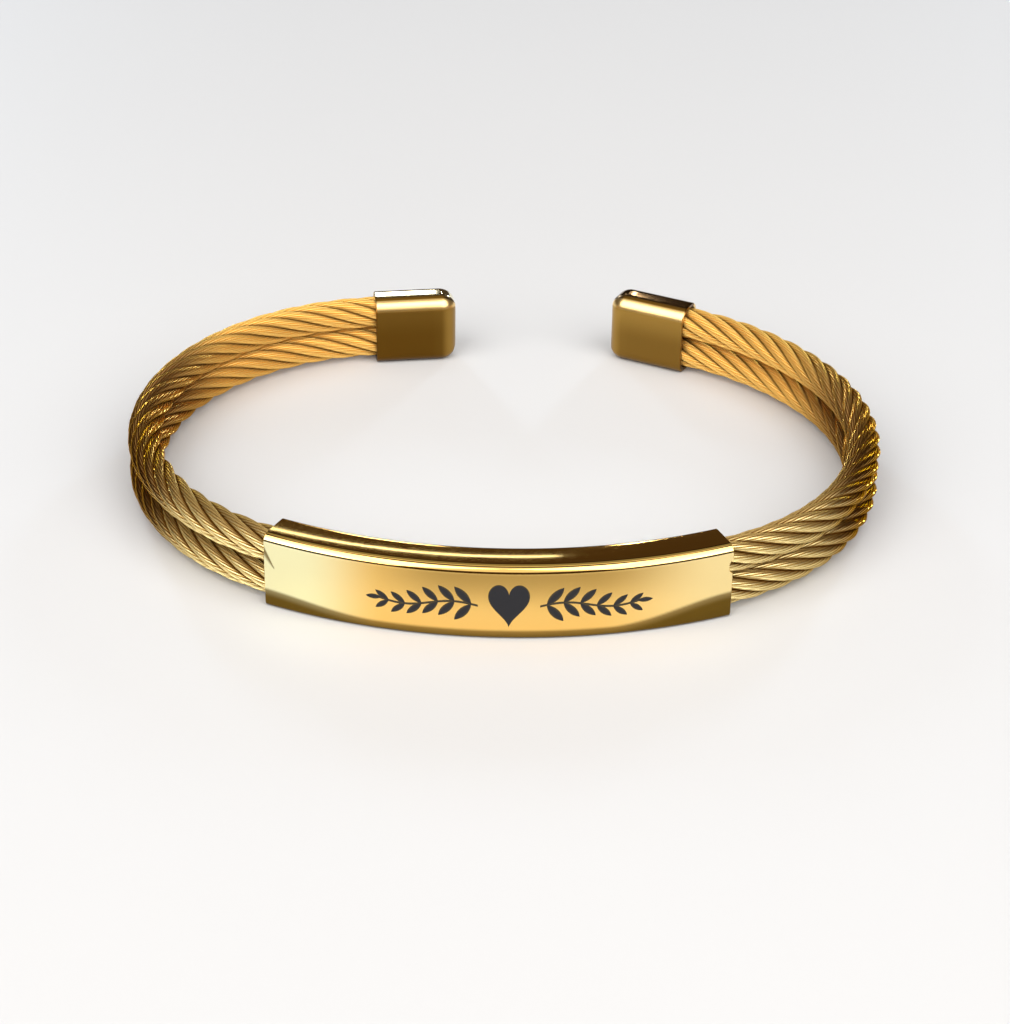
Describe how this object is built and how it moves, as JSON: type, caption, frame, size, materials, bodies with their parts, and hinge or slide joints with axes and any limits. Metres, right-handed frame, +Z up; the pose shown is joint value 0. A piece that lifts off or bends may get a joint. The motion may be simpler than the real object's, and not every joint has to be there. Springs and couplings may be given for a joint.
{
  "type": "engraved bangle",
  "caption": "Open cuff bangle: stacked twisted cables run through a polished curved bar engraved with a heart and leafy sprigs, and end in rounded caps with a gap between them.",
  "frame": {"origin": "middle of the footprint, on the surface that the bangle lies on", "axes": "+X along the bar, from the left limb to the right limb; +Y from the engraved bar back to the gap between the caps; +Z up, across the width of the cuff"},
  "size_m": [0.0654, 0.052, 0.0066],
  "materials": {
    "bar": "mirror-polished gold plating",
    "cable": "gold-plated wire, fine strands",
    "cap": "polished gold plating"
  },
  "bodies": {
    "root": {"engraved_bar": "bar", "upper_cable": "cable", "lower_cable": "cable", "left_end_cap": "cap", "right_end_cap": "cap"}
  },
  "joints": []
}
